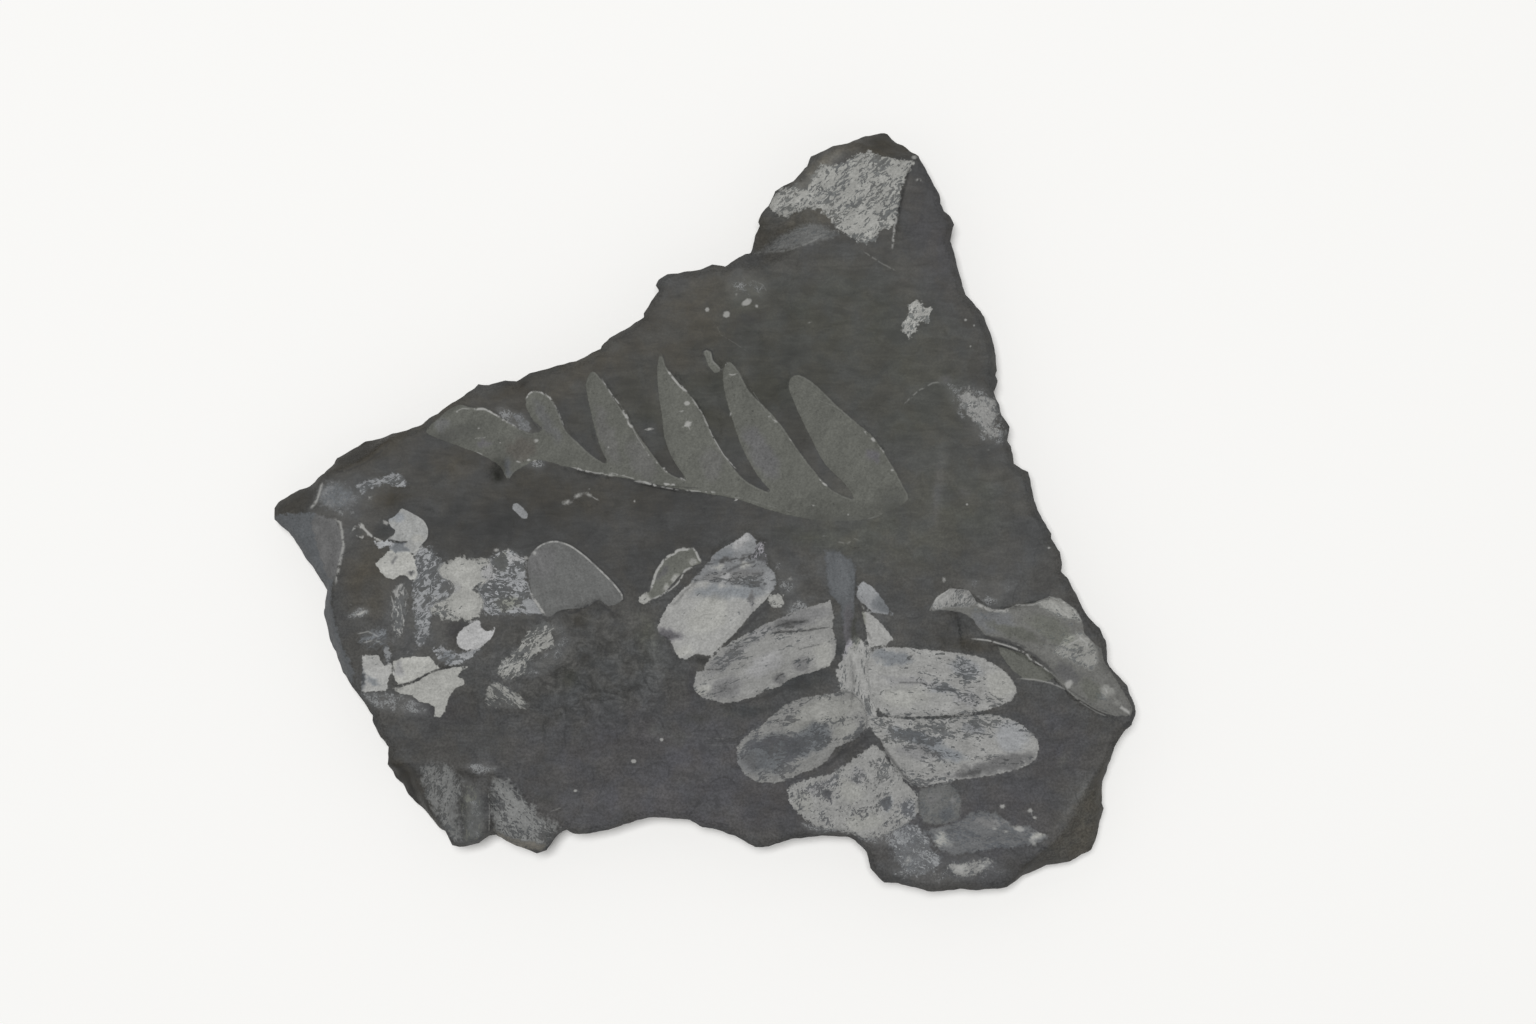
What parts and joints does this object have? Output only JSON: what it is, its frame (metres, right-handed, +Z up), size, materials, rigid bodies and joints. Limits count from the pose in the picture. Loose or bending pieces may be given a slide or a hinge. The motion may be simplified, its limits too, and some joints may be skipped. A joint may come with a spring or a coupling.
{
  "type": "fossil fern plate",
  "caption": "Flat broken plate of black shale carrying a fern frond and scattered pale leaflets on its top face; it lies on its underside.",
  "frame": {"origin": "middle of the plate's footprint box, on the surface that it lies on", "axes": "+X along the plate's length towards its east tip, +Y across it towards the end above the frond, +Z up, out of the face that carries the fern"},
  "size_m": [0.1202, 0.1058, 0.012],
  "materials": {
    "shale": "dull black shale with grey-green and white leaf films"
  },
  "bodies": {
    "root": {"shale_plate": "shale"}
  },
  "joints": []
}
